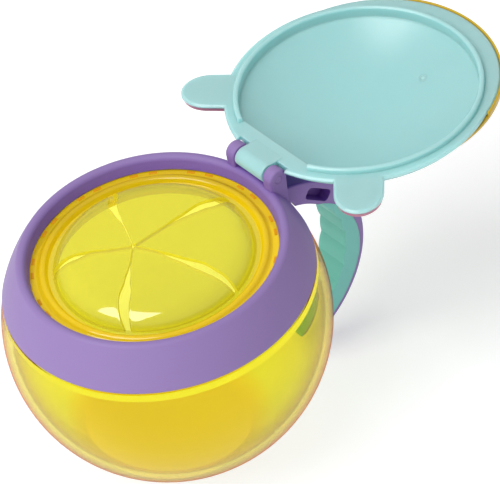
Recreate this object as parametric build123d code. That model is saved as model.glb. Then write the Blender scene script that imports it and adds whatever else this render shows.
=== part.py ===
from build123d import *
import os
from math import atan2, cos, degrees, pi, radians, sin, sqrt

# Toddler snack cup: a round see-through bowl, a screw-on collar with a handle, a soft insert whose
# five flaps let a small hand in, and a flip lid that stands open, folded right back on its hinge.
# Millimetres, +Z up. The origin is the middle of the bowl's flat base, and the hinge and the handle
# are at the back, towards +Y. The mouth leans towards the front, so the collar, the insert and the
# lid are drawn in a rim frame: its origin is the bowl's centre, u is across, v is towards the hinge
# and w is the collar's own axis.

# --- bowl
bowl_radius = 46.0
bowl_wall = 2.2
base_radius = 24.0
floor_thickness = 3.0
base_edge_round = 2.0
floor_edge_round = 4.0
shoulder_slope_depth = 3.4   # how far below the shoulder the inside starts to close in
neck_wall = 1.8
neck_edge = 0.4

# --- rim frame
rim_tilt = 10.8              # degrees, the mouth leans forward

# --- screw thread between neck and collar
thread_starts = 4
thread_lead = 14.4           # rise per turn
thread_span = 50.0           # degrees that one ridge covers
thread_sections = 7
thread_height = 1.1
thread_root_width = 1.5
thread_tip_width = 0.9
thread_overlap = 0.3         # how deep a ridge is rooted in its wall
thread_foot = 3.1            # from the shoulder up to the low end of a neck ridge

# --- clearances
skin_gap = 0.35              # between bowl, insert and collar, along w
thread_gap = 0.5             # beyond a ridge's tip
insert_side_gap = 0.5        # insert's flange inside the collar, radial
pin_run_gap = 0.05           # pin in the lid's barrel, radial
pin_seat_gap = 0.02          # pin in the lugs, radial
barrel_gap = 0.4             # lid's barrel over the collar's crest
lid_seat = 0.7               # closed lid over the collar's crest
lug_gap = 0.4                # lid beside and around the lugs
arm_gap = 1.0                # handle's root over the bowl
finger_gap = 14.9            # between the bowl and the handle, where it is widest

# --- collar
collar_proud = 0.3           # its outside is a zone of a sphere, this much outside the bowl's
collar_height = 12.4         # along w, from its lower edge to the top of the crest
collar_wall = 1.9            # beside the top of the neck
collar_step = 1.5            # the threaded wall stands this much outside the neck's end
collar_thread_lap = 0.6      # the threaded wall ends this far below the top of the neck
collar_chamfer = 0.5
mouth_radius = 35.0
mouth_draft = 0.5
crest_round = 1.6
neck_below_crest = 5.9

# --- insert and its flaps
insert_flange_thickness = 1.2
insert_plug_depth = 1.1      # how far the thick ring hangs inside the neck
flange_band = 2.8            # from the mouth's wall to the foot of the bead
bead_width = 2.6
bead_height = 1.3
bead_shoulder = 0.7
groove_width = 1.2
groove_depth = 0.3
crown_height = 5.0           # the raised crown that the flaps are cut from, over the flange
crown_round = 7.0
crown_thickness = 1.1
flap_count = 5
flap_fold_inset = 3.4        # a flap's fold line is this far inside the crown's flat top
flap_fold_gap = 0.7
flap_tips = (-3.5, -3.6)     # (u, v) where the slits meet, a little off the axis
slit_inner_width = 0.6
slit_outer_width = 1.9
slit_depth = 5.9
first_slit = 90.0            # degrees from +u, towards the hinge

# --- hinge
pin_radius = 1.2
lug_meat = 1.8               # round the pin's hole
barrel_meat = 1.7
barrel_web = 5.5             # the barrel is joined to the lid over this distance
hinge_back = 1.8             # the pin stands this far behind the middle of the crest
lug_inner = 6.0
lug_thickness = 3.6
lug_edge_round = 0.6
lug_drop = 5.7               # how far the lugs' feet reach below the crest
lug_foot_back = 0.8
lid_open_angle = 182.0

# --- lid, drawn closed
flange_beyond = 1.3          # the flange reaches this far past the middle of the crest
flange_thickness = 1.35
flange_edge = 0.5
seal_depth = 1.6             # the ring's height under the flange
seal_flare = 0.25            # it sits in the flare of the mouth, this much beyond its wall
seal_edge = 0.4
seal_thickness = 1.5
seal_opening = 49.0          # degrees by the hinge that the ring leaves open
dish_depth = 1.9             # from the flange's face to the edge of the dish's floor
dish_crown = 10.5            # the floor rises this much more at its middle
dish_round = 0.5
lid_wall = 1.8
cap_wall = 2.4               # round the dish
cap_round = 1.4
chord_inset = 8.1            # the straight bar by the hinge ends the dish this far before the pin
lip_inset = 1.9              # the lip's circle is this much smaller than the flange
lip_shift = 5.0              # the lip's circle stands this much towards the front
tab_angle = 41.8             # degrees back from +u
tab_out = 4.6                # a tab's middle is this far outside the flange
tab_reach = 8.0
tab_half_width = 6.9
tab_root = 14.0              # width where a tab leaves the flange
tab_overlap = 2.0            # how far a tab runs in under the cap
cover_thickness = 1.4
lip_cover_proud = 0.6        # the lip's cover shows this much beyond the lip
tab_cover_inset = 0.5        # a tab's cover stays this far inside the tab's outline

# --- handle, drawn in the plane across its width, from the bowl's centre
handle_outer = 31.0
handle_band = 7.1
handle_half_width = 5.5
handle_root_inset = 0.1      # the collar's back is met this far inside the handle's outside
handle_root_angle = 13.2     # degrees that the band runs on inside the collar before it is trimmed
handle_end = -61.0
handle_edge_round = 0.6
grip_skin = 1.4              # the stiff frame left outside the grip
grip_top = 61.0              # degrees, where the grip starts below the arm
grip_taper_end = -14.0       # degrees, below here it fills the skin
taper_points = 4
grip_lap = 0.6
grip_end_margin = 20.0
grip_ribs = 10               # round ribs, side by side on the finger side
first_rib_edge = 65.5        # degrees
last_rib_edge = -69.5
grip_rib_depth = 0.5
pocket_angle = 60.5
pocket_inset = 4.1           # from the handle's outside to the middle of the recess
pocket_length = 9.4
pocket_height = 3.7
pocket_round = 1.2
pocket_depth = 3.6

BIG = 300.0                  # larger than the whole cup
cut_margin = 1.0             # how far a cutting shape runs past what it cuts
small = 0.01

bowl_centre_height = sqrt(bowl_radius**2 - base_radius**2)
rim_frame = Location((0, 0, bowl_centre_height), (rim_tilt, 0, 0))
centre_frame = Location((0, 0, bowl_centre_height))
rim_turn = Rotation(rim_tilt, 0, 0)

# collar's crest, and the heights that hang from it, along w
collar_radius = bowl_radius + collar_proud
crest_circle_radius = mouth_radius + crest_round
crest_circle_w = sqrt((collar_radius - crest_round)**2 - crest_circle_radius**2)
crest_top = crest_circle_w + crest_round
collar_bottom = crest_top - collar_height
shoulder_height = collar_bottom - skin_gap
neck_top = crest_top - neck_below_crest
neck_thread_start = shoulder_height + thread_foot
collar_thread_top = neck_top - collar_thread_lap
insert_bottom = neck_top + skin_gap
insert_top = insert_bottom + insert_flange_thickness
collar_ceiling = insert_top + skin_gap
crown_top = insert_top + crown_height
slit_floor = crown_top - slit_depth
flange_face = crest_top + lid_seat
flange_top = flange_face + flange_thickness
cover_top = flange_top + cover_thickness

# radii, from the collar's outside inwards
thread_wall_radius = sqrt(collar_radius**2 - neck_top**2) - collar_wall
neck_radius = thread_wall_radius - thread_gap - thread_height
neck_bore = neck_radius - neck_wall
collar_bore = thread_wall_radius - collar_step + thread_gap
insert_flange_radius = collar_bore - insert_side_gap
bead_outer = mouth_radius - flange_band
bead_inner = bead_outer - bead_width
crown_radius = bead_inner - groove_width
flap_fold = crown_radius - crown_round - flap_fold_inset

# hinge and lid
lug_radius = pin_radius + lug_meat
barrel_radius = pin_radius + barrel_meat
lug_outer = lug_inner + lug_thickness
hinge_v = crest_circle_radius + hinge_back
hinge_w = crest_circle_w + sqrt((crest_round + barrel_gap + barrel_radius)**2 - hinge_back**2)
lug_foot_w = crest_circle_w - lug_drop
flange_radius = crest_circle_radius + flange_beyond
seal_outer = mouth_radius + seal_flare
dish_radius = seal_outer - seal_thickness
cap_radius = dish_radius + cap_wall
chord_v = hinge_v - chord_inset
lip_circle = flange_radius - lip_inset
tab_distance = flange_radius + tab_out

# handle: its band meets the back of the collar half way up
handle_inner = handle_outer - handle_band
collar_middle_w = (collar_bottom + crest_top) / 2
collar_middle_r = sqrt(collar_radius**2 - collar_middle_w**2)
tilt_sin = sin(radians(rim_tilt))
tilt_cos = cos(radians(rim_tilt))
collar_back_y = collar_middle_r * tilt_cos - collar_middle_w * tilt_sin
collar_back_z = collar_middle_r * tilt_sin + collar_middle_w * tilt_cos
handle_y = bowl_radius + finger_gap - handle_inner
root_rise = sqrt((handle_outer - handle_root_inset)**2 - (handle_y - collar_back_y)**2)
handle_centre = (handle_y, collar_back_z - root_rise)
handle_start = degrees(atan2(root_rise, collar_back_y - handle_y)) + handle_root_angle
pocket_middle = handle_outer - pocket_inset


def turned(edges):
    """Solid of revolution about w of an outline in (r, w)."""
    return revolve(Plane.XZ * make_face(edges), Axis.Z)


def arc_about(centre, radius, start, end):
    """Arc from one angle to another, in degrees, about a centre in the sketch plane."""
    points = [polar_point(centre, radius, start + (end - start) * share) for share in (0, 0.5, 1)]
    return ThreePointArc(*points)


def polar_point(centre, radius, angle):
    return (centre[0] + radius * cos(radians(angle)), centre[1] + radius * sin(radians(angle)))


def slab(low, high, outline):
    """Outline in (u, v), filled from the height low to the height high."""
    return Location((0, 0, low)) * extrude(outline, high - low)


def plate(low, high, outline):
    """A slab whose upper and lower edges are broken."""
    body = slab(low, high, outline)
    levels = body.edges().group_by(Axis.Z)
    return chamfer(levels[0] + levels[-1], flange_edge)


def across(outline, half_width):
    """Outline in the (y, z) plane, filled to both sides of the middle plane."""
    return extrude(Plane.YZ * outline, half_width, both=True)


def thread_ridges(wall_radius, outwards, low_end):
    """Ridges of the coarse thread, standing out of a round wall."""
    side = 1 if outwards else -1
    root = wall_radius - side * thread_overlap
    tip = wall_radius + side * thread_height
    ridges = []
    for start in range(thread_starts):
        sections = []
        for step in range(thread_sections):
            turn = thread_span * step / (thread_sections - 1)
            w = low_end + thread_lead * turn / 360
            corners = [
                (root, w - thread_root_width / 2),
                (tip, w - thread_tip_width / 2),
                (tip, w + thread_tip_width / 2),
                (root, w + thread_root_width / 2),
            ]
            section = Plane.XZ * make_face(Polyline(*corners, close=True))
            sections.append(Rotation(0, 0, turn + 360 * start / thread_starts) * section)
        ridges.append(loft(sections, ruled=True))
    return ridges


def make_bowl():
    outer_r = sqrt(bowl_radius**2 - shoulder_height**2)
    outer = turned([
        arc_about((0, 0), bowl_radius, -90, degrees(atan2(shoulder_height, outer_r))),
        Polyline(
            (outer_r, shoulder_height),
            (neck_radius, shoulder_height),
            (neck_radius, neck_top - neck_edge),
            (neck_radius - neck_edge, neck_top),
            (0, neck_top),
            (0, -bowl_radius),
        ),
    ])
    inside = bowl_radius - bowl_wall
    slope_w = shoulder_height - shoulder_slope_depth
    slope_r = sqrt(inside**2 - slope_w**2)
    inner = turned([
        arc_about((0, 0), inside, -90, degrees(atan2(slope_w, slope_r))),
        Polyline(
            (slope_r, slope_w),
            (neck_bore, shoulder_height - bowl_wall / 2),
            (neck_bore, BIG),
            (0, BIG),
            (0, -inside),
        ),
    ])
    outer = rim_frame * outer & Pos(0, 0, BIG / 2) * Box(BIG, BIG, BIG)
    outer = fillet(outer.edges().group_by(Axis.Z)[0], base_edge_round)
    inner = rim_frame * inner & Pos(0, 0, BIG / 2 + floor_thickness) * Box(BIG, BIG, BIG)
    inner = fillet(inner.edges().group_by(Axis.Z)[0], floor_edge_round)
    bowl = outer - inner
    for ridge in thread_ridges(neck_radius, True, neck_thread_start):
        bowl += rim_frame * ridge
    return bowl


def lug_outline():
    """Side view of a hinge lug, in (v, w): a round head on a foot that runs down to the collar."""
    head = Location((hinge_v, hinge_w)) * Circle(lug_radius)
    front = hinge_v - lug_radius
    back = hinge_v + lug_radius
    foot = make_face(Polyline(
        (front, hinge_w),
        (front, crest_circle_w),
        (crest_circle_radius, lug_foot_w),
        (back - lug_foot_back, lug_foot_w),
        (back, hinge_w),
        close=True,
    ))
    return head + foot


def make_collar():
    outer_r = sqrt(collar_radius**2 - collar_bottom**2)
    chamfer_w = collar_bottom + collar_chamfer
    chamfer_r = sqrt(collar_radius**2 - chamfer_w**2)
    crest_angle = degrees(atan2(crest_circle_w, crest_circle_radius))
    crest_centre = (crest_circle_radius, crest_circle_w)
    collar = turned([
        Polyline((0, collar_bottom), (outer_r - collar_chamfer, collar_bottom), (chamfer_r, chamfer_w)),
        arc_about((0, 0), collar_radius, degrees(atan2(chamfer_w, chamfer_r)), crest_angle),
        arc_about(crest_centre, crest_round, crest_angle, 180),
        Polyline((mouth_radius, crest_circle_w), (0, crest_circle_w), (0, collar_bottom)),
    ])
    lug = extrude(Plane.YZ * lug_outline(), lug_thickness)
    head_edges = lug.edges().filter_by(lambda edge: edge.center().Z > crest_circle_w)
    lug = fillet(head_edges.filter_by(Axis.X, reverse=True), lug_edge_round)
    collar += Pos(lug_inner, 0, 0) * lug + Pos(-lug_outer, 0, 0) * lug
    mouth_foot = mouth_radius - mouth_draft
    collar -= turned([Polyline(
        (0, 0),
        (thread_wall_radius, 0),
        (thread_wall_radius, collar_thread_top),
        (collar_bore, collar_thread_top),
        (collar_bore, collar_ceiling),
        (mouth_foot, collar_ceiling),
        (mouth_radius, crest_circle_w),
        (mouth_radius, hinge_w),
        (0, hinge_w),
        (0, 0),
    )])
    collar -= Pos(0, hinge_v, hinge_w) * Rotation(0, 90, 0) * Cylinder(pin_radius + pin_seat_gap, BIG)
    neck_pitch = thread_lead / thread_starts
    for ridge in thread_ridges(thread_wall_radius, False, neck_thread_start - neck_pitch / 2):
        collar += ridge
    return rim_frame * collar


def crown_shell():
    """The raised crown of the insert before it is slit: a flat top with a round shoulder."""
    shoulder_r = crown_radius - crown_round
    shoulder_w = crown_top - crown_round
    under = crown_round - crown_thickness
    return turned([
        Line((0, crown_top), (shoulder_r, crown_top)),
        arc_about((shoulder_r, shoulder_w), crown_round, 90, 0),
        Line((crown_radius, shoulder_w), (crown_radius - crown_thickness, shoulder_w)),
        arc_about((shoulder_r, shoulder_w), under, 0, 90),
        Line((shoulder_r, crown_top - crown_thickness), (0, crown_top - crown_thickness)),
        Line((0, crown_top - crown_thickness), (0, crown_top)),
    ])


def slit_end(k):
    """Where slit k ends, on the crown's edge."""
    return polar_point((0, 0), crown_radius, first_slit + 360 * k / flap_count)


def slits():
    """The slits between the flaps, wider towards the crown's edge."""
    blades = []
    for k in range(flap_count):
        end = slit_end(k)
        along = (end[0] - flap_tips[0], end[1] - flap_tips[1])
        length = sqrt(along[0]**2 + along[1]**2)
        wedge = make_face(Polyline(
            (0, -slit_inner_width / 2),
            (length, -slit_outer_width / 2),
            (length, slit_outer_width / 2),
            (0, slit_inner_width / 2),
            close=True,
        ))
        wedge = Location(flap_tips, degrees(atan2(along[1], along[0]))) * wedge
        blades.append(slab(slit_floor, crown_top + cut_margin, wedge))
    return blades


def flap_angle(k):
    return first_slit + 360 * (k + 0.5) / flap_count


def flap_prism(k, fold):
    """Flap k and the crown above and below it, from the tips to a fold line at the distance fold."""
    triangle = make_face(Polyline(flap_tips, slit_end(k), slit_end(k + 1), close=True))
    inside_fold = Rotation(0, 0, flap_angle(k)) * Pos(fold - BIG / 2, 0) * Rectangle(BIG, BIG)
    return slab(slit_floor, crown_top + cut_margin, triangle & inside_fold)


def make_insert_ring():
    bottom = insert_bottom - insert_plug_depth
    plug_r = neck_bore - skin_gap
    inner_r = crown_radius - crown_thickness
    ring = turned([Polyline(
        (insert_flange_radius, insert_bottom),
        (insert_flange_radius, insert_top),
        (bead_outer, insert_top),
        (bead_outer - bead_shoulder, insert_top + bead_height),
        (bead_inner + bead_shoulder, insert_top + bead_height),
        (bead_inner, insert_top - groove_depth),
        (inner_r, insert_top - groove_depth),
        (inner_r, bottom),
        (plug_r, bottom),
        (plug_r, insert_bottom),
        (insert_flange_radius, insert_bottom),
    )])
    ring += crown_shell()
    for slit in slits():
        ring -= slit
    for k in range(flap_count):
        ring -= flap_prism(k, flap_fold + flap_fold_gap / 2)
    return rim_frame * ring


def make_flap(k):
    flap = flap_prism(k, flap_fold - flap_fold_gap / 2) & crown_shell()
    for slit in slits():
        flap -= slit
    return rim_frame * flap


def make_hinge_pin():
    pin = Rotation(0, 90, 0) * Cylinder(pin_radius, 2 * lug_outer)
    return rim_frame * Pos(0, hinge_v, hinge_w) * pin


def opened(shape):
    """A piece of the lid, drawn closed, swung back about the hinge."""
    swing = Pos(0, hinge_v, hinge_w) * Rotation(-lid_open_angle, 0, 0) * Pos(0, -hinge_v, -hinge_w)
    return rim_frame * swing * shape


def dish_floor_w(r):
    """Height of the dish's floor, a shallow dome."""
    rise = dish_crown * (1 - (r / dish_radius)**2)
    return flange_face + dish_depth + rise


def lip_outline(proud=0.0):
    return Location((0, -lip_shift)) * Circle(lip_circle + proud)


def tab_outline(side, inset=0.0):
    angle = tab_angle if side > 0 else 180 - tab_angle
    end = polar_point((0, 0), tab_distance, angle)
    half_width = tab_half_width - inset
    half_root = tab_root / 2 - inset
    tab = Location((end[0], end[1]), angle) * Ellipse(tab_reach - inset, half_width)
    root = Rotation(0, 0, angle) * make_face(Polyline(
        (cap_radius - tab_overlap, -half_root),
        (flange_radius - flange_edge, -half_root),
        (tab_distance, -half_width),
        (tab_distance, half_width),
        (flange_radius - flange_edge, half_root),
        (cap_radius - tab_overlap, half_root),
        close=True,
    ))
    return tab + root


def lug_notches():
    """Room in the lid's edge for the two lugs."""
    notch_front = hinge_v - lug_radius - lug_gap
    width = lug_thickness + 2 * lug_gap
    notch = Pos(0, notch_front + BIG / 2, 0) * Box(width, BIG, BIG)
    middle = lug_inner + lug_thickness / 2
    return Pos(middle, 0, 0) * notch + Pos(-middle, 0, 0) * notch


def make_lid_shell():
    rim_w = dish_floor_w(dish_radius) + lid_wall - cap_round
    crown_w = dish_floor_w(0) + lid_wall
    dome_edge = cap_radius - cap_round
    dome_edge_w = rim_w + cap_round
    dome_mid_r = dome_edge / 2
    dome_mid_w = crown_w - (crown_w - dome_edge_w) * (dome_mid_r / dome_edge)**2
    shell = turned([
        Polyline(
            (0, flange_face),
            (flange_radius - flange_edge, flange_face),
            (flange_radius, flange_face + flange_edge),
            (flange_radius, flange_top - flange_edge),
            (flange_radius - flange_edge, flange_top),
            (cap_radius, flange_top),
            (cap_radius, rim_w),
        ),
        arc_about((cap_radius - cap_round, rim_w), cap_round, 0, 90),
        ThreePointArc((dome_edge, dome_edge_w), (dome_mid_r, dome_mid_w), (0, crown_w)),
        Line((0, crown_w), (0, flange_face)),
    ])
    shell += plate(flange_face, flange_top, lip_outline())
    for side in (-1, 1):
        shell += plate(flange_face, flange_top, tab_outline(side))
    bar_front = hinge_v - barrel_web
    web = make_face(Polyline(
        (bar_front, flange_face),
        (hinge_v, hinge_w - barrel_radius),
        (hinge_v, hinge_w + barrel_radius),
        (bar_front, dome_edge_w),
        close=True,
    ))
    side_view = web + Location((hinge_v, hinge_w)) * Circle(barrel_radius)
    shell -= lug_notches()
    shell += across(side_view, lug_inner - lug_gap)
    seal_inner = seal_outer - seal_thickness
    seal_tip = flange_face - seal_depth
    seal = turned([Polyline(
        (seal_inner, flange_top),
        (seal_outer, flange_top),
        (seal_outer, seal_tip + seal_edge),
        (seal_outer - seal_edge, seal_tip),
        (seal_inner + seal_edge, seal_tip),
        (seal_inner, seal_tip + seal_edge),
        (seal_inner, flange_top),
    )])
    opening = make_face(Polyline(
        (0, 0),
        polar_point((0, 0), BIG, 90 - seal_opening / 2),
        polar_point((0, 0), BIG, 90 + seal_opening / 2),
        close=True,
    ))
    shell += seal - slab(0, BIG, opening)
    floor_edge = dish_radius - dish_round
    floor_w = dish_floor_w(dish_radius)
    mouth_w = seal_tip - cut_margin
    mid_r = floor_edge / 2
    mid_w = dish_floor_w(0) - (dish_floor_w(0) - floor_w) * (mid_r / floor_edge)**2
    dish = turned([
        Polyline((0, mouth_w), (dish_radius, mouth_w), (dish_radius, floor_w - dish_round)),
        arc_about((floor_edge, floor_w - dish_round), dish_round, 0, 90),
        ThreePointArc((floor_edge, floor_w), (mid_r, mid_w), (0, dish_floor_w(0))),
        Line((0, dish_floor_w(0)), (0, mouth_w)),
    ])
    shell -= dish & Pos(0, chord_v - BIG / 2, 0) * Box(BIG, BIG, BIG)
    shell -= Pos(0, hinge_v, hinge_w) * Rotation(0, 90, 0) * Cylinder(pin_radius + pin_run_gap, BIG)
    return opened(shell)


def make_cover(outline):
    """A coloured layer on the outside of the lid's lip or of a tab, outside the cap."""
    cover = slab(flange_top, cover_top, outline)
    cover = chamfer(cover.edges().group_by(Axis.Z)[-1], flange_edge)
    return opened(cover - Cylinder(cap_radius, BIG) - lug_notches())


def handle_outline():
    """Side view of the whole handle: a band bent round the fingers, with a round free end."""
    band = Circle(handle_outer) - Circle(handle_inner)
    reach = 2 * handle_outer
    span = handle_start - handle_end
    corners = [polar_point((0, 0), reach, handle_end + span * share) for share in (0, 0.25, 0.5, 0.75, 1)]
    band &= make_face(Polyline((0, 0), *corners, close=True))
    middle = (handle_outer + handle_inner) / 2
    end = polar_point((0, 0), middle, handle_end)
    band += Location(end) * Circle((handle_outer - handle_inner) / 2)
    return Location(handle_centre) * band


def grip_outline():
    """Side view of the space inside the frame's skin, which the soft grip fills."""
    skin_radius = handle_outer - grip_skin
    depth = skin_radius - handle_inner
    taper = []
    for step in range(taper_points):
        share = step / (taper_points - 1)
        angle = grip_top + (grip_taper_end - grip_top) * share
        radius = handle_inner - grip_lap + (depth + grip_lap) * sin(share * pi / 2)
        taper.append(polar_point((0, 0), radius, angle))
    low_end = handle_end - grip_end_margin
    region = make_face([
        Spline(*taper),
        arc_about((0, 0), skin_radius, grip_taper_end, low_end),
        Polyline(
            polar_point((0, 0), skin_radius, low_end),
            polar_point((0, 0), handle_inner / 2, low_end),
            polar_point((0, 0), handle_inner / 2, grip_top),
            taper[0],
        ),
    ])
    return Location(handle_centre) * region


def handle_pocket():
    """The oblong recess in each side of the arm."""
    middle = polar_point(handle_centre, pocket_middle, pocket_angle)
    outline = RectangleRounded(pocket_length, pocket_height, pocket_round)
    outline = Location(middle, pocket_angle - 90) * outline
    floor = handle_half_width - pocket_depth
    pocket = extrude(Plane.YZ * outline, pocket_depth + cut_margin)
    return Pos(floor, 0, 0) * pocket + Pos(-handle_half_width - cut_margin, 0, 0) * pocket


def make_handle_frame():
    frame = across(handle_outline() - grip_outline(), handle_half_width)
    round_edges = frame.edges().filter_by(GeomType.CIRCLE)
    back_edges = round_edges.filter_by(lambda edge: abs(edge.radius - handle_outer) < small)
    frame = fillet(back_edges, handle_edge_round)
    frame -= handle_pocket()
    frame -= Sphere(collar_radius)
    beside_bowl = Sphere(bowl_radius + arm_gap)
    beside_bowl -= rim_turn * Pos(0, 0, collar_bottom + BIG / 2) * Box(BIG, BIG, BIG)
    return centre_frame * (frame - beside_bowl)


def finger_room():
    """Side view of the room inside the grip, bounded by the grip's round ribs."""
    pitch = (last_rib_edge - first_rib_edge) / grip_ribs
    edges = []
    for k in range(grip_ribs):
        angle = first_rib_edge + pitch * k
        edges.append(ThreePointArc(
            polar_point((0, 0), handle_inner + grip_rib_depth, angle),
            polar_point((0, 0), handle_inner, angle + pitch / 2),
            polar_point((0, 0), handle_inner + grip_rib_depth, angle + pitch),
        ))
    edges.append(Polyline(edges[-1] @ 1, (0, 0), edges[0] @ 0))
    return Location(handle_centre) * make_face(edges)


def make_handle_grip():
    grip = across((handle_outline() & grip_outline()) - finger_room(), handle_half_width)
    return centre_frame * grip


os.makedirs("parts", exist_ok=True)
export_step(make_bowl(), "parts/bowl.step")
export_step(make_insert_ring(), "parts/insert_ring.step")
for number in range(flap_count):
    export_step(make_flap(number), f"parts/insert_flap_{number + 1}.step")
export_step(make_collar(), "parts/collar.step")
export_step(make_handle_frame(), "parts/handle_frame.step")
export_step(make_handle_grip(), "parts/handle_grip.step")
export_step(make_hinge_pin(), "parts/hinge_pin.step")
export_step(make_lid_shell(), "parts/lid_shell.step")
export_step(make_cover(lip_outline(lip_cover_proud)), "parts/lip_cover.step")
export_step(make_cover(tab_outline(-1, tab_cover_inset)), "parts/tab_cover_left.step")
export_step(make_cover(tab_outline(1, tab_cover_inset)), "parts/tab_cover_right.step")
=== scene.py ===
from math import asin, cos, hypot, pi, radians, sin

import bpy
from mathutils import Matrix, Vector


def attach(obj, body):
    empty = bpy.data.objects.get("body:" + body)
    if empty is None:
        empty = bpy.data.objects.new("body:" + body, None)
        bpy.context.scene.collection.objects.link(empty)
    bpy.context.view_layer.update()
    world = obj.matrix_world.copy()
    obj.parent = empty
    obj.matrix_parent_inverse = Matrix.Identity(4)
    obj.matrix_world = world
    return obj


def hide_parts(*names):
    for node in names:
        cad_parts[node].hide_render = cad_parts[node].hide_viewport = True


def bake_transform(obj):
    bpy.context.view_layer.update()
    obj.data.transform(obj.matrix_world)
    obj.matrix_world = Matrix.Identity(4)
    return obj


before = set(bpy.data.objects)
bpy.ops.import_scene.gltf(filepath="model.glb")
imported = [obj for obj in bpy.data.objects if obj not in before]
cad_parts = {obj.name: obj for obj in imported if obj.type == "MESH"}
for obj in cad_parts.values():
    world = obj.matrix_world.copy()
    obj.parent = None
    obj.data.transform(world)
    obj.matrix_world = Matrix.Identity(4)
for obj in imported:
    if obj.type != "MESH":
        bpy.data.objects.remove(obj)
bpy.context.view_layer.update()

# --- Studio
# A matt white light table that glows a little and so keeps the shadow pale, a large softbox in front,
# which shows in the gloss of the insert and the lid, and a weaker one overhead. The lens is long and
# stands far back, as for a product picture, turned to the photograph's side and height.
BOWL_CENTRE = Vector((0, 0, 0.039243))


def linear(colour):
    """An sRGB hex colour as the linear RGBA that a shader takes."""
    channels = [int(colour[i:i + 2], 16) / 255 for i in (1, 3, 5)]
    return [c / 12.92 if c <= 0.04045 else ((c + 0.055) / 1.055)**2.4 for c in channels] + [1.0]


def new_material(name):
    """An empty node material."""
    material = bpy.data.materials.new(name)
    material.use_nodes = True
    material.node_tree.nodes.clear()
    return material


def add_node(material, kind, inputs=None, **settings):
    """Adds a node, sets what it holds and fills its inputs with values or with other nodes' outputs."""
    node = material.node_tree.nodes.new("ShaderNode" + kind)
    for name, value in settings.items():
        setattr(node, name, value)
    for name, value in (inputs or {}).items():
        if isinstance(value, bpy.types.NodeSocket):
            material.node_tree.links.new(value, node.inputs[name])
        else:
            node.inputs[name].default_value = value
    return node


def add_softbox(name, azimuth, elevation, distance, width, height, power):
    """A rectangular area light on a ray from the bowl's centre, turned to face it."""
    out = Vector((
        cos(radians(elevation)) * cos(radians(azimuth)),
        cos(radians(elevation)) * sin(radians(azimuth)),
        sin(radians(elevation)),
    ))
    bpy.ops.object.light_add(type="AREA", location=BOWL_CENTRE + out * distance)
    softbox = bpy.context.object
    softbox.name = name
    softbox.rotation_euler = out.to_track_quat("Z", "Y").to_euler()
    softbox.data.shape = "RECTANGLE"
    softbox.data.size = width
    softbox.data.size_y = height
    softbox.data.energy = power
    softbox.visible_transmission = False     # no bright rings on the table from light bent by the bowl
    return softbox


add_softbox("softbox_front", azimuth=-88, elevation=44, distance=1.0, width=0.74, height=0.64, power=6.6)
softbox_top = add_softbox(
    "softbox_top", azimuth=-95, elevation=70, distance=1.1, width=0.5, height=0.5, power=2.0,
)
softbox_top.visible_glossy = False           # the insert shows the front softbox alone

world = bpy.data.worlds.new("studio_walls")
world.use_nodes = True
world.node_tree.nodes["Background"].inputs["Color"].default_value = linear("#FFFFFF")
world.node_tree.nodes["Background"].inputs["Strength"].default_value = 0.52
bpy.context.scene.world = world

TABLE_SIZE = 6                    # metres, well past what the camera sees
TABLE_TOP = -0.0002               # a little below the bowl's base, so that the two faces stay apart
bpy.ops.object.select_all(action="DESELECT")
bpy.ops.mesh.primitive_plane_add(size=TABLE_SIZE, location=(0, 0, TABLE_TOP))
table = bpy.context.object
table.name = "table"
table_paint = new_material("matt_white_light_table")
shader = add_node(table_paint, "BsdfPrincipled", {
    "Base Color": linear("#F8F8F8"),
    "Roughness": 0.9,
    "Emission Color": linear("#FFFFFF"),
    "Emission Strength": 0.25,
})
add_node(table_paint, "OutputMaterial", {"Surface": shader.outputs[0]})
table.data.materials.append(table_paint)

CAMERA_SIDE = radians(49.67)      # from the front, towards the right
CAMERA_HEIGHT = radians(37.19)
CAMERA_DISTANCE = 1.0703
CAMERA_RIGHT = 0.022823           # its axis passes this far beside the bowl's centre, and above it
CAMERA_UP = 0.020495
back = Vector((
    sin(CAMERA_SIDE) * cos(CAMERA_HEIGHT),
    -cos(CAMERA_SIDE) * cos(CAMERA_HEIGHT),
    sin(CAMERA_HEIGHT),
))
right = Vector((cos(CAMERA_SIDE), sin(CAMERA_SIDE), 0))
up = back.cross(right)
bpy.ops.object.camera_add()
camera = bpy.context.object
camera.matrix_world = Matrix((
    (right.x, up.x, back.x, 0),
    (right.y, up.y, back.y, 0),
    (right.z, up.z, back.z, 0),
    (0, 0, 0, 1),
))
camera.location = BOWL_CENTRE + back * CAMERA_DISTANCE + right * CAMERA_RIGHT + up * CAMERA_UP
camera.data.sensor_width = 36
camera.data.lens = 278.4
bpy.context.scene.camera = camera
bpy.context.scene.view_settings.view_transform = "Standard"

# --- Bowl
# One injection moulding in clear yellow copolyester, 2.2 mm thick, polished inside and out. It takes
# its colour from the way light has gone through it, so it looks deeper and more orange along its edges.
FLOOR_INSIDE = 0.0032             # height of the bowl's flat floor, and where it has turned into wall
WALL_BEGINS = 0.005


def show_as(nodes, material):
    """Gives a CAD node's slots one material."""
    for node in nodes:
        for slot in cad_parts[node].material_slots:
            slot.material = material


def let_soft_light_through(material, surface, tint):
    """Shadow and diffuse rays pass a clear piece nearly white, so it spills no yellow on what is near."""
    passing = add_node(material, "BsdfTransparent", {"Color": linear(tint)})
    ray = add_node(material, "LightPath")
    soft_ray = add_node(material, "Math", {
        0: ray.outputs["Is Shadow Ray"], 1: ray.outputs["Is Diffuse Ray"],
    }, operation="MAXIMUM")
    whole = add_node(material, "MixShader", {
        0: soft_ray.outputs[0], 1: surface.outputs[0], 2: passing.outputs[0],
    })
    add_node(material, "OutputMaterial", {"Surface": whole.outputs[0]})


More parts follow.
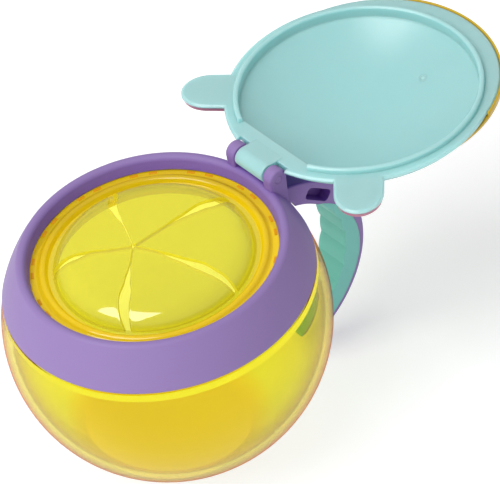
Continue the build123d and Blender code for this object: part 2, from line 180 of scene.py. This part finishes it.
# Polished clear copolyester: sharp light through it, faint flow ripple, an orange line at its outline.
clear_yellow = new_material("clear_yellow_copolyester")
place = add_node(clear_yellow, "TexCoord")
flow = add_node(clear_yellow, "TexNoise", {      # ripples about 14 mm long, as the plastic ran
    "Vector": place.outputs["Object"], "Scale": 70.0, "Detail": 2.0, "Roughness": 0.4,
})
ripple = add_node(clear_yellow, "Bump", {"Height": flow.outputs[0], "Strength": 0.04, "Distance": 0.0004})
slant = add_node(clear_yellow, "LayerWeight", {"Blend": 0.5})
# 0 where the wall is seen straight on, 1 at its outline
edge = add_node(clear_yellow, "Math", {0: slant.outputs["Facing"], 1: 4.0}, operation="POWER")
height = add_node(clear_yellow, "SeparateXYZ", {0: place.outputs["Object"]})
floor = add_node(clear_yellow, "MapRange", {
    "Value": height.outputs["Z"],
    "From Min": FLOOR_INSIDE,
    "From Max": WALL_BEGINS,
    "To Min": 1.0,
    "To Max": 0.0,
})
stain = add_node(clear_yellow, "Mix", {
    0: floor.outputs[0], 6: linear("#F6F062"), 7: linear("#F8DC18"),
}, data_type="RGBA")
wall = add_node(clear_yellow, "BsdfPrincipled", {
    "Base Color": stain.outputs[2],
    "Roughness": 0.02,
    "IOR": 1.3,                   # below the real plastic's 1.54, so light bends less at the outline
    "Transmission Weight": 1.0,
    "Normal": ripple.outputs[0],
})
outline = add_node(clear_yellow, "BsdfTransparent", {"Color": linear("#DE9860")})
shell = add_node(clear_yellow, "MixShader", {0: edge.outputs[0], 1: wall.outputs[0], 2: outline.outputs[0]})
let_soft_light_through(clear_yellow, shell, "#FBFAF6")
show_as(["bowl"], clear_yellow)

# --- Insert rim
# The outer ring of a soft insert, moulded in clear yellow elastomer: a flange that lies on the bowl's
# neck, a raised bead with a groove inside it, and a plug that centres it in the neck.
MOUTH_LEAN = radians(10.8)
RIM = Matrix.Translation(BOWL_CENTRE) @ Matrix.Rotation(MOUTH_LEAN, 4, "X")
RIM_OUTLINE = [                   # radius and height along the mouth's axis, in mm
    (37.68, 21.72), (37.68, 22.91), (32.9, 22.91), (32.2, 23.25), (31.65, 23.95), (30.95, 24.21),
    (30.25, 23.95), (29.8, 23.2), (29.6, 22.62), (27.3, 22.62), (27.3, 20.62), (35.4, 20.62), (35.4, 21.72),
]
RIM_EDGE_ROUND = 0.00025
BEAD_FROM = 0.0292                # the radius where the bead begins, and the flange outside it
FLANGE_FROM = 0.0327
SMOOTH_UNDER = radians(40)        # edges sharper than this stay crisp


def clear_elastomer(name, stain, body, milk, shine_ahead, gloss_roughness):
    """Soft clear plastic in a thin skin: light passes stained, a share scatters in it, and it is glossy."""
    material = new_material(name)
    place = add_node(material, "TexCoord")
    flow = add_node(material, "TexNoise", {      # ripples about 11 mm long
        "Vector": place.outputs["Object"], "Scale": 90.0, "Detail": 2.0, "Roughness": 0.5,
    })
    ripple = add_node(material, "Bump", {"Height": flow.outputs[0], "Strength": 0.08, "Distance": 0.0004})
    through = add_node(material, "BsdfTransparent", {"Color": linear(stain)})
    haze = add_node(material, "BsdfPrincipled", {
        "Base Color": linear(body), "Roughness": 0.3, "Specular IOR Level": 0.0,
    })
    inside = add_node(material, "MixShader", {0: milk, 1: through.outputs[0], 2: haze.outputs[0]})
    slant = add_node(material, "LayerWeight", {"Blend": 0.5, "Normal": ripple.outputs[0]})
    # the share of gloss is shine_ahead where the skin is seen straight on, and 0.5 more at its outline
    edge = add_node(material, "Math", {0: slant.outputs["Facing"], 1: 5.0}, operation="POWER")
    shine = add_node(material, "Math", {0: edge.outputs[0], 1: 0.5, 2: shine_ahead}, operation="MULTIPLY_ADD")
    gloss = add_node(material, "BsdfAnisotropic", {
        "Color": linear("#FFFFFF"), "Roughness": gloss_roughness, "Normal": ripple.outputs[0],
    })
    skin = add_node(material, "MixShader", {0: shine.outputs[0], 1: inside.outputs[0], 2: gloss.outputs[0]})
    let_soft_light_through(material, skin, "#FAFAF4")
    return material


# The same plastic in three depths: the thin crown is lemon and lets most light by, the bead is golden
# and the flange, seen against the neck under it, is an almost closed orange yellow.
soft_yellow = clear_elastomer(
    "clear_yellow_elastomer", "#F5F178", "#E0DE4E", milk=0.22, shine_ahead=0.08, gloss_roughness=0.07,
)
bead_yellow = clear_elastomer(
    "thicker_yellow_elastomer", "#F8E440", "#F0D010", milk=0.5, shine_ahead=0.05, gloss_roughness=0.09,
)
deep_yellow = clear_elastomer(
    "thick_yellow_elastomer", "#FFE81C", "#FFDE20", milk=0.5, shine_ahead=0.04, gloss_roughness=0.12,
)

# the outline is drawn corner by corner, rounded, and spun about the mouth's axis
bpy.ops.object.select_all(action="DESELECT")
bpy.ops.mesh.primitive_plane_add(size=0.001)
insert_rim = bpy.context.object
insert_rim.name = "insert_rim"
bpy.ops.object.mode_set(mode="EDIT")
bpy.ops.mesh.select_all(action="SELECT")
bpy.ops.mesh.merge(type="CENTER")
corners = [Vector((r, 0, w)) / 1000 for r, w in RIM_OUTLINE]
bpy.ops.transform.translate(value=corners[0])
for last, corner in zip(corners, corners[1:]):
    bpy.ops.mesh.extrude_region_move(TRANSFORM_OT_translate={"value": corner - last})
bpy.ops.mesh.select_all(action="SELECT")
bpy.ops.mesh.edge_face_add()
bpy.ops.mesh.bevel(offset=RIM_EDGE_ROUND, segments=4, affect="VERTICES")
bpy.ops.mesh.select_all(action="SELECT")
bpy.ops.mesh.delete(type="ONLY_FACE")
bpy.ops.mesh.select_all(action="SELECT")
bpy.ops.mesh.spin(steps=180, angle=2 * pi, center=(0, 0, 0), axis=(0, 0, 1))
bpy.ops.mesh.select_all(action="SELECT")
bpy.ops.mesh.remove_doubles(threshold=0.000002)
bpy.ops.mesh.normals_make_consistent(inside=False)
bpy.ops.object.mode_set(mode="OBJECT")
insert_rim.matrix_world = RIM
bpy.ops.object.transform_apply(location=True, rotation=True, scale=True)
bpy.ops.object.shade_smooth_by_angle(angle=SMOOTH_UNDER)
insert_rim.data.materials.append(soft_yellow)
insert_rim.data.materials.append(bead_yellow)
insert_rim.data.materials.append(deep_yellow)
for face in insert_rim.data.polygons:
    middle = RIM.inverted() @ face.center
    r = hypot(middle.x, middle.y)
    face.material_index = int(r > BEAD_FROM) + int(r > FLANGE_FROM)
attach(insert_rim, "insert")
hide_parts("insert_ring")

# --- Flange pads
# Thirteen pairs of short low pads of the same moulding stand on the flange, where the pins of the
# mould push it out. They are the thickest spots, so they look amber.
PAD_PLACE = (0.0338, 0, 0.02298)
PAD_SIZE = (0.0008, 0.0024, 0.0003)
PAD_EDGE_ROUND = 0.00012
PAD_PAIRS = 13
PAD_SPACING = radians(9.2)        # between the two of a pair
PAD_START = radians(2.4)
bpy.ops.object.select_all(action="DESELECT")
bpy.ops.mesh.primitive_cube_add(size=1, location=PAD_PLACE, scale=PAD_SIZE)
pad = bpy.context.object
pad.name = "flange_pads"
bpy.ops.object.mode_set(mode="EDIT")
bpy.ops.mesh.select_all(action="SELECT")
bpy.ops.mesh.bevel(offset=PAD_EDGE_ROUND, segments=2, affect="EDGES")
bpy.ops.object.mode_set(mode="OBJECT")
bpy.ops.object.transform_apply(location=True, rotation=True, scale=True)
# Where the elastomer is thickest its stain is deepest, so a pad is amber and hardly clear.
amber = clear_elastomer(
    "amber_pad_of_yellow_elastomer", "#F2C040", "#E6A40C", milk=0.6, shine_ahead=0.03, gloss_roughness=0.15,
)
pad.data.materials.append(amber)
pads = [pad]
for k in range(1, 2 * PAD_PAIRS):
    copy = pad.copy()
    copy.data = pad.data.copy()
    bpy.context.collection.objects.link(copy)
    copy.matrix_world = Matrix.Rotation(2 * pi / PAD_PAIRS * (k // 2) + PAD_SPACING * (k % 2), 4, "Z")
    pads.append(copy)
for copy in pads:
    copy.matrix_world = RIM @ Matrix.Rotation(PAD_START, 4, "Z") @ copy.matrix_world
    copy.select_set(True)
bpy.context.view_layer.objects.active = pad
bpy.ops.object.join()
bpy.ops.object.transform_apply(location=True, rotation=True, scale=True)
bpy.ops.object.shade_smooth_by_angle(angle=SMOOTH_UNDER)
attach(pad, "insert")

# --- Insert flaps
# The raised middle of the same moulding, 1.1 mm thick, cut by five curved slits into five soft flaps
# that meet a little off the axis. The cut edges look deeper, since light runs along the skin to them.

# the crown and its slits in mm, out from the mouth's axis and along it
FLAT_RADIUS = 21.4
CROWN_TOP = 27.912
SHOULDER = 7.0                    # radius of the round shoulder outside the flat
SHOULDER_TURN = 1.326             # radians that the shoulder bends through, down to the groove
FOOT = FLAT_RADIUS + SHOULDER * SHOULDER_TURN
MEETING = (-3.5, -3.6)            # where the slits meet
TIP_GAP = 0.02                    # the share of a slit's length that the flaps' tips stay off that point
SLITS = [                         # middle line, across and towards the hinge, and widths evenly along it
    ([(-2.9, 6.4), (-2.4, 11.5), (-1.2, 18.8), (0.5, 22.9)], (0.2, 0.3, 1.2, 2.9, 3.0, 2.4)),
    ([(-11.5, -0.3), (-16.8, 1.4), (-20.7, 2.9), (-23.1, 5.3)], (0.2, 0.3, 1.4, 2.5, 2.6, 2.4)),
    ([(-7.5, -9.0), (-10.7, -12.9), (-12.6, -17.3), (-14.3, -21.2)], (0.2, 0.25, 0.8, 2.2, 2.2, 1.6)),
    ([(2.1, -9.6), (7.3, -15.1), (12.0, -19.9), (16.4, -23.1)], (0.2, 0.3, 1.6, 3.2, 2.9, 2.1)),
    ([(2.4, -0.8), (9.5, 1.5), (16.6, 3.7), (21.9, 4.6), (27.6, 6.3)], (0.2, 0.3, 1.6, 3.0, 2.4, 1.4)),
]

# the flaps in metres, as the pieces round them
SKIN = 0.0011
CUT_EDGE_ROUND = 0.00012


def unrolled(x, y):
    """A point of the crown seen from above, moved out to its distance along the skin."""
    r = hypot(x, y)
    if r <= FLAT_RADIUS:
        return Vector((x, y))
    q = FLAT_RADIUS + SHOULDER * asin(min(1.0, (r - FLAT_RADIUS) / SHOULDER))
    return Vector((x, y)) * (q / r)


def on_crown(point):
    """Where a point of the unrolled skin lies on the crown, in metres."""
    q = point.length
    if q <= FLAT_RADIUS:
        return Vector((point.x, point.y, CROWN_TOP)) / 1000
    turn = (q - FLAT_RADIUS) / SHOULDER
    r = FLAT_RADIUS + SHOULDER * sin(turn)
    w = CROWN_TOP - SHOULDER + SHOULDER * cos(turn)
    return Vector((point.x * r / q, point.y * r / q, w)) / 1000


def slit_side(slit, side, share):
    """A point on one side of a slit, a share of its length away from the middle."""
    middle, widths = slit
    line = [unrolled(*MEETING)] + [unrolled(*point) for point in middle]
    line.append(line[-1].normalized() * FOOT)
    if (line[-1] - line[-2]).length < 1:       # two points this close, in mm, would kink the curve
        line.pop(-2)
    line = [2 * line[0] - line[1]] + line + [2 * line[-1] - line[-2]]
    # a smooth curve through the points, and its direction
    at = share * (len(line) - 3)
    k = min(int(at), len(line) - 4)
    t = at - k
    a, b, c, d = line[k:k + 4]
    first, second, third = c - a, 2 * a - 5 * b + 4 * c - d, 3 * b - a - 3 * c + d
    point = 0.5 * (2 * b + first * t + second * t**2 + third * t**3)
    along = (first + 2 * second * t + 3 * third * t**2).normalized()
    # the width eases from one value to the next
    at = share * (len(widths) - 1)
    k = min(int(at), len(widths) - 2)
    t = at - k
    t = t * t * (3 - 2 * t)
    width = widths[k] * (1 - t) + widths[k + 1] * t
    return point + Vector((-along.y, along.x)) * side * width / 2


# A cut edge of the elastomer: duller than the skin, and deeper, as light gathers in it.
cut_yellow = clear_elastomer(
    "cut_edge_of_yellow_elastomer", "#FAF060", "#F4E420", milk=0.5, shine_ahead=0.03, gloss_roughness=0.3,
)
for k in range(5):
    bpy.ops.object.select_all(action="DESELECT")
    bpy.ops.mesh.primitive_grid_add(x_subdivisions=28, y_subdivisions=44, size=1)
    flap = bpy.context.object
    flap.name = "insert_flap_skin_%d" % (k + 1)
    # the grid is laid on the crown between two slits: no operator gives a skin both curves
    for vertex in flap.data.vertices:
        across = vertex.co.x + 0.5
        share = TIP_GAP + (1 - TIP_GAP) * (vertex.co.y + 0.5)
        one = slit_side(SLITS[k], 1, share)
        other = slit_side(SLITS[(k + 1) % 5], -1, share)
        point = one.lerp(other, across)
        reach = one.length * (1 - across) + other.length * across
        to_circle = 1 + share**2 * (reach / point.length - 1)      # towards the foot it follows the ring
        vertex.co = on_crown(point * to_circle)
    bpy.ops.object.mode_set(mode="EDIT")
    bpy.ops.mesh.select_all(action="SELECT")
    bpy.ops.mesh.normals_make_consistent(inside=False)
    bpy.ops.object.mode_set(mode="OBJECT")
    if flap.data.polygons[0].normal.z < 0:
        flap.data.flip_normals()
    flap.data.materials.append(soft_yellow)
    flap.data.materials.append(cut_yellow)
    skin = flap.modifiers.new("skin", "SOLIDIFY")
    skin.thickness = SKIN
    skin.offset = -1
    skin.use_even_offset = True
    skin.material_offset_rim = 1
    bpy.ops.object.modifier_apply(modifier="skin")
    cut = flap.modifiers.new("cut", "BEVEL")
    cut.width = CUT_EDGE_ROUND
    cut.segments = 2
    cut.limit_method = "ANGLE"
    cut.angle_limit = radians(50)
    bpy.ops.object.modifier_apply(modifier="cut")
    flap.matrix_world = RIM
    bpy.ops.object.transform_apply(location=True, rotation=True, scale=True)
    bpy.ops.object.shade_smooth_by_angle(angle=SMOOTH_UNDER)
    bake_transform(flap)
    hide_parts("insert_flap_%d" % (k + 1))

# --- Collar, handle frame and hinge pin
# Lilac polypropylene with a fine satin grain, moulded; the collar screws down over the bowl's neck and
# holds the pin in two lugs. The pin is pressed in and shows only at its ends.
def moulded_plastic(name, colour, shade, painted_hollow_shade, roughness, shine, glow, grain):
    """Opaque moulded plastic: slight colour drift, fine grain, softly broken edges and painted shade in its
    hollows.
    """
    material = new_material(name)
    place = add_node(material, "TexCoord")
    drift = add_node(material, "TexNoise", {     # patches about 55 mm wide, hardly seen
        "Vector": place.outputs["Object"], "Scale": 18.0, "Detail": 2.0, "Roughness": 0.5,
    })
    tint = add_node(material, "Mix", {
        0: drift.outputs[0], 6: linear(colour), 7: linear(shade),
    }, data_type="RGBA")
    # painted shade: where ambient occlusion finds other geometry near, the colour turns to the darker hollow
    # colour
    open_to_light = add_node(material, "AmbientOcclusion", {"Distance": 0.03}, samples=8)
    depth = add_node(material, "Mix", {
        0: open_to_light.outputs["AO"], 6: linear(painted_hollow_shade), 7: tint.outputs[2],
    }, data_type="RGBA")
    # the real satin grain, near 0.1 mm, is too fine to show, so it is drawn at 0.4 mm
    fine = add_node(material, "TexNoise", {
        "Vector": place.outputs["Object"], "Scale": 2500.0, "Detail": 1.0, "Roughness": 0.5,
    })
    soft_edge = add_node(material, "Bevel", {"Radius": 0.0004}, samples=4)
    bump = add_node(material, "Bump", {
        "Height": fine.outputs[0], "Strength": grain, "Distance": 0.00005, "Normal": soft_edge.outputs[0],
    })
    shader = add_node(material, "BsdfPrincipled", {
        "Base Color": depth.outputs[2],
        "Roughness": roughness,
        "IOR": 1.49,
        "Specular IOR Level": shine,
        "Subsurface Weight": glow,
        "Subsurface Radius": (0.8, 1.0, 1.0),
        "Subsurface Scale": 0.004,
        "Normal": bump.outputs[0],
    })
    add_node(material, "OutputMaterial", {"Surface": shader.outputs[0]})
    return material


# Satin polypropylene: no mirror image, only broad soft light, and painted shade, a darker and purer purple,
# where it is hollow.
lilac = moulded_plastic(
    "satin_lilac_polypropylene", "#8F78AC", "#8872A7", painted_hollow_shade="#64389A",
    roughness=0.48, shine=0.25, glow=0.05, grain=0.25,
)
show_as(["collar", "handle_frame", "hinge_pin"], lilac)

# --- Grip
# Teal elastomer with round ribs for the fingers, moulded over the inner side of the handle's frame.
# It is rubbery, so it is the dullest of the colours, with the coarsest grain.
teal = moulded_plastic(
    # the hollow colour is painted shade, laid in where ambient occlusion finds geometry near
    "teal_elastomer", "#7AC2BA", "#72BAB2", painted_hollow_shade="#68BCB4",
    roughness=0.55, shine=0.4, glow=0.2, grain=0.4,
)
show_as(["handle_grip"], teal)

# --- Lid
# Pale aqua polypropylene: a shallow dish with a sealing ring, a flange with a lip and two tabs. The
# outside of the lip and of the tabs carries a second layer, moulded on in mustard and in dusty pink.
# Thin polypropylene with a half-polished face: soft highlights, and light glows in it and lifts its shade.
aqua = moulded_plastic(
    # the hollow colour is painted shade, laid in where ambient occlusion finds geometry near
    "satin_aqua_polypropylene", "#9BC3C3", "#95BEBE", painted_hollow_shade="#90C8C6",
    roughness=0.27, shine=0.6, glow=0.9, grain=0.15,
)
show_as(["lid_shell"], aqua)
# Both layers are opaque and half glossy, so each shows one flat colour with a soft light along its edge.
mustard = moulded_plastic(
    # the hollow colour is painted shade, laid in where ambient occlusion finds geometry near
    "mustard_polypropylene", "#D2AE20", "#C8A418", painted_hollow_shade="#C89C10",
    roughness=0.3, shine=0.4, glow=0.1, grain=0.2,
)
show_as(["lip_cover"], mustard)
dusty_pink = moulded_plastic(
    # the hollow colour is painted shade, laid in where ambient occlusion finds geometry near
    "dusty_pink_polypropylene", "#BC8094", "#B4788C", painted_hollow_shade="#B06C84",
    roughness=0.35, shine=0.4, glow=0.1, grain=0.2,
)
show_as(["tab_cover_left", "tab_cover_right"], dusty_pink)

# --- Lip band
# The mustard layer wraps round the edge of the lip, so it shows from the inside as a thin line. It is
# moulded on with the rest of the lip's cover.
LID_HINGE = Matrix.Translation((0, 0.0384, 0.030219))
LID_SWING = radians(-182)         # what is on the lid is modelled with the lid shut, then swung back
SWUNG_OPEN = RIM @ LID_HINGE @ Matrix.Rotation(LID_SWING, 4, "X") @ LID_HINGE.inverted()
LIP_CENTRE = Matrix.Translation((0, -0.005, 0))
BAND_RADIUS = 0.0364
BAND_THICKNESS = 0.0006
BAND_WIDTH = 0.00145
BAND_EDGE_ROUND = 0.00015
FLANGE_FACE = 0.027962
BAND_HEIGHT = FLANGE_FACE + 0.0008
BAND_ARC = radians(118)
BAND_START = radians(-20)         # spin turns back from here, so the band's middle is near the front
bpy.ops.object.select_all(action="DESELECT")
bpy.ops.mesh.primitive_plane_add(size=1)
lip_band = bpy.context.object
lip_band.name = "lip_band"
bpy.ops.object.mode_set(mode="EDIT")
bpy.ops.mesh.select_all(action="SELECT")
bpy.ops.transform.resize(value=(BAND_THICKNESS, BAND_WIDTH, 1))
bpy.ops.transform.rotate(value=pi / 2, orient_axis="X", center_override=(0, 0, 0))
bpy.ops.transform.translate(value=(BAND_RADIUS, 0, BAND_HEIGHT))
bpy.ops.mesh.spin(steps=60, angle=BAND_ARC, center=(0, 0, 0), axis=(0, 0, 1))
bpy.ops.mesh.select_all(action="SELECT")
bpy.ops.mesh.normals_make_consistent(inside=False)
bpy.ops.object.mode_set(mode="OBJECT")
lip_band.matrix_world = SWUNG_OPEN @ LIP_CENTRE @ Matrix.Rotation(BAND_START, 4, "Z")
bpy.ops.object.transform_apply(location=True, rotation=True, scale=True)
rounded = lip_band.modifiers.new("rounded", "BEVEL")
rounded.width = BAND_EDGE_ROUND
rounded.segments = 2
bpy.ops.object.modifier_apply(modifier="rounded")
bpy.ops.object.shade_smooth_by_angle(angle=SMOOTH_UNDER)
lip_band.data.materials.append(mustard)
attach(lip_band, "lid")

# --- Gate mark
# In the dish, where the plastic came into the mould: a low round disc with a shallow ring in it, left
# when the runner is cut off. It is the lid's own polypropylene.
GATE_RADIUS = 0.0011
GATE_DEPTH = 0.0005
GATE_HOLLOW = 0.0004              # its face sinks over this width, and rises again to the middle
GATE_RISE = 0.0003
GATE_EDGE_ROUND = 0.00008
GATE_PLACE = Matrix.Translation((0.0025, -0.0213, 0.03625))
GATE_DIRECTION = Matrix.Rotation(radians(-83), 4, "Z")
GATE_SLOPE = Matrix.Rotation(radians(21.7), 4, "Y")      # as steep as the dish is there
GATE_STEP = 0.0001
bpy.ops.object.select_all(action="DESELECT")
bpy.ops.mesh.primitive_cylinder_add(vertices=32, radius=GATE_RADIUS, depth=GATE_DEPTH)
gate = bpy.context.object
gate.name = "gate_mark"
bpy.ops.object.mode_set(mode="EDIT")
bpy.ops.mesh.select_all(action="DESELECT")
bpy.ops.object.mode_set(mode="OBJECT")
for face in gate.data.polygons:
    face.select = face.normal.z < -0.9       # the end that shows once the lid is swung open
bpy.ops.object.mode_set(mode="EDIT")
bpy.ops.mesh.inset(thickness=GATE_HOLLOW)
bpy.ops.transform.translate(value=(0, 0, GATE_STEP))
bpy.ops.mesh.inset(thickness=GATE_RISE)
bpy.ops.transform.translate(value=(0, 0, -GATE_STEP))
bpy.ops.object.mode_set(mode="OBJECT")
gate.matrix_world = SWUNG_OPEN @ GATE_PLACE @ GATE_DIRECTION @ GATE_SLOPE
bpy.ops.object.transform_apply(location=True, rotation=True, scale=True)
rounded = gate.modifiers.new("rounded", "BEVEL")
rounded.width = GATE_EDGE_ROUND
rounded.segments = 2
bpy.ops.object.modifier_apply(modifier="rounded")
bpy.ops.object.shade_smooth_by_angle(angle=SMOOTH_UNDER)
# Cut polypropylene: duller than the moulded face round it, and paler where the knife has torn it.
cut_aqua = moulded_plastic(
    # the hollow colour is painted shade, laid in where ambient occlusion finds geometry near
    "cut_gate_of_aqua_polypropylene", "#A4CECC", "#9EC9C8", painted_hollow_shade="#98D0CE",
    roughness=0.4, shine=0.4, glow=0.0, grain=0.15,
)
gate.data.materials.append(cut_aqua)
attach(gate, "lid")

# --- Lid lights
# Two small softboxes light the lid alone: one puts the soft highlight on the far side of the dish, and
# a weak one from the right lifts the wall inside the sealing ring.
lid_only = bpy.data.collections.new("lid_only")
lid_only.objects.link(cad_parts["lid_shell"])
lid_only.objects.link(gate)
softbox_lid = add_softbox(
    "softbox_lid", azimuth=-97, elevation=67, distance=1.1, width=0.5, height=0.32, power=2.2,
)
softbox_lid.light_linking.receiver_collection = lid_only
softbox_lid_side = add_softbox(
    "softbox_lid_side", azimuth=2, elevation=16, distance=1.1, width=0.5, height=0.4, power=1.5,
)
softbox_lid_side.light_linking.receiver_collection = lid_only
